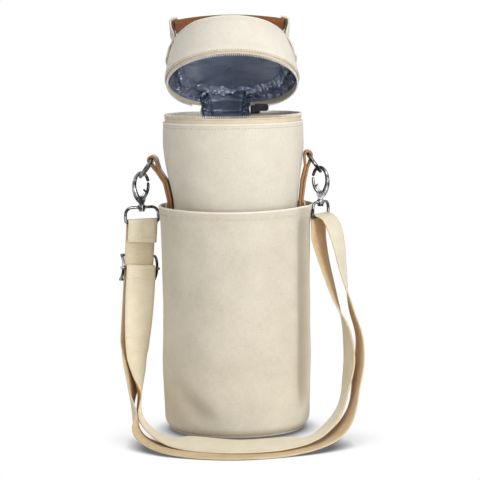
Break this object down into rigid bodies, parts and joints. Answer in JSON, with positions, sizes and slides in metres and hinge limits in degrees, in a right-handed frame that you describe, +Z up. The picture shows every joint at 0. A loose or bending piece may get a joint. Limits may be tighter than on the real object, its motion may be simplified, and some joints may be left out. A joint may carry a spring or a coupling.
{
  "type": "bottle carrier",
  "caption": "Insulated canvas carrier for a wine bottle: padded round body in a pocket sleeve, zip lid on a fabric hinge, leather handle and clip-on webbing strap.",
  "frame": {"origin": "middle of the base, on the floor", "axes": "+Z up along the bottle's axis, -Y to the front where the strap lies, +X to the viewer's right"},
  "size_m": [0.2202, 0.2219, 0.372],
  "materials": {
    "canvas": "natural cotton canvas, matt",
    "foam": "closed-cell padding",
    "lining": "shiny coated lining",
    "zip_teeth": "moulded coil",
    "zip_tape": "woven tape",
    "leather": "tan, smooth",
    "webbing": "cotton webbing, ribbed weave",
    "board": "plain",
    "dark_metal": "dark lacquer",
    "nickel": "polished nickel"
  },
  "bodies": {
    "bag": {"body_shell": "canvas", "body_foam": "foam", "body_lining": "lining", "base_panel": "canvas", "base_board": "board", "base_foam": "foam", "base_piping": "canvas", "pocket_sleeve": "canvas", "body_rim_piping": "canvas", "body_zip_teeth": "zip_teeth", "body_zip_tape": "zip_tape", "hinge_panel": "canvas", "hinge_lining": "lining", "left_ring_tab": "leather", "left_tab_patch": "canvas", "right_ring_tab": "leather", "right_tab_patch": "canvas", "left_swivel_eye": "nickel", "right_swivel_eye": "nickel", "strap_sewn_run": "webbing", "strap_webbing": "webbing"},
    "lid": {"lid_wall": "canvas", "lid_top": "canvas", "lid_top_piping": "canvas", "lid_foam_wall": "foam", "lid_foam_disc": "foam", "lid_lining": "lining", "lid_zip_teeth": "zip_teeth", "lid_zip_tape": "zip_tape", "handle_strap": "leather", "left_handle_leg": "canvas", "right_handle_leg": "canvas"},
    "zip_slider": {"zip_slider": "dark_metal"},
    "zip_pull": {"zip_pull": "dark_metal"},
    "left_ring": {"left_ring": "nickel"},
    "right_ring": {"right_ring": "nickel"},
    "left_hook": {"left_hook_claw": "nickel", "left_gate_pin": "nickel", "left_gate_spring": "nickel"},
    "right_hook": {"right_hook_claw": "nickel", "right_gate_pin": "nickel", "right_gate_spring": "nickel"},
    "left_gate": {"left_gate": "nickel"},
    "right_gate": {"right_gate": "nickel"},
    "adjuster": {"adjuster_frame": "nickel", "adjuster_bar": "nickel"}
  },
  "joints": [
    {"name": "lid_hinge", "type": "hinge", "parent": "bag", "child": "lid", "pos_m": [0, 0.062, 0.285], "axis": [-1, 0, 0], "range_deg": [-26, 85], "deforming": ["hinge_panel", "hinge_lining"]},
    {"name": "zip_travel", "type": "hinge", "parent": "bag", "child": "zip_slider", "pos_m": [0, 0, 0.285], "axis": [0, 0, 1], "range_deg": [-305, 0]},
    {"name": "zip_pull_swing", "type": "hinge", "parent": "zip_slider", "child": "zip_pull", "pos_m": [0.01877, 0.05186, 0.285], "axis": [0, 0, -1], "range_deg": [0, 170]},
    {"name": "left_ring_swing", "type": "hinge", "parent": "bag", "child": "left_ring", "pos_m": [-0.07262, 0.00508, 0.2435], "axis": [-0.0698, -0.9976, 0], "range_deg": [0, 4.5]},
    {"name": "left_hook_swivel", "type": "hinge", "parent": "bag", "child": "left_hook", "pos_m": [-0.08321, 0.00582, 0.20285], "axis": [0, 0, 1], "range_deg": [-22, 22]},
    {"name": "left_gate_open", "type": "hinge", "parent": "left_hook", "child": "left_gate", "pos_m": [-0.08321, 0.00582, 0.20705], "axis": [-0.0698, -0.9976, 0], "range_deg": [0, 20], "stiffness_Nm_per_rad": 0.01, "springref_deg": -9.74, "deforming": ["left_gate_spring"]},
    {"name": "right_ring_swing", "type": "hinge", "parent": "bag", "child": "right_ring", "pos_m": [0.0667, 0, 0.2465], "axis": [0, 1, 0], "range_deg": [0, 4.5]},
    {"name": "right_hook_swivel", "type": "hinge", "parent": "bag", "child": "right_hook", "pos_m": [0.07731, 0, 0.20585], "axis": [0, 0, 1], "range_deg": [-22, 22]},
    {"name": "right_gate_open", "type": "hinge", "parent": "right_hook", "child": "right_gate", "pos_m": [0.07731, 0, 0.21005], "axis": [0, 1, 0], "range_deg": [0, 20], "stiffness_Nm_per_rad": 0.01, "springref_deg": -9.74, "deforming": ["right_gate_spring"]},
    {"name": "strap_adjust", "type": "slide", "parent": "bag", "child": "adjuster", "axis": [-0.068, -0.059, -0.9959], "range_m": [0, 0.045], "deforming": ["strap_sewn_run", "strap_webbing"]}
  ]
}
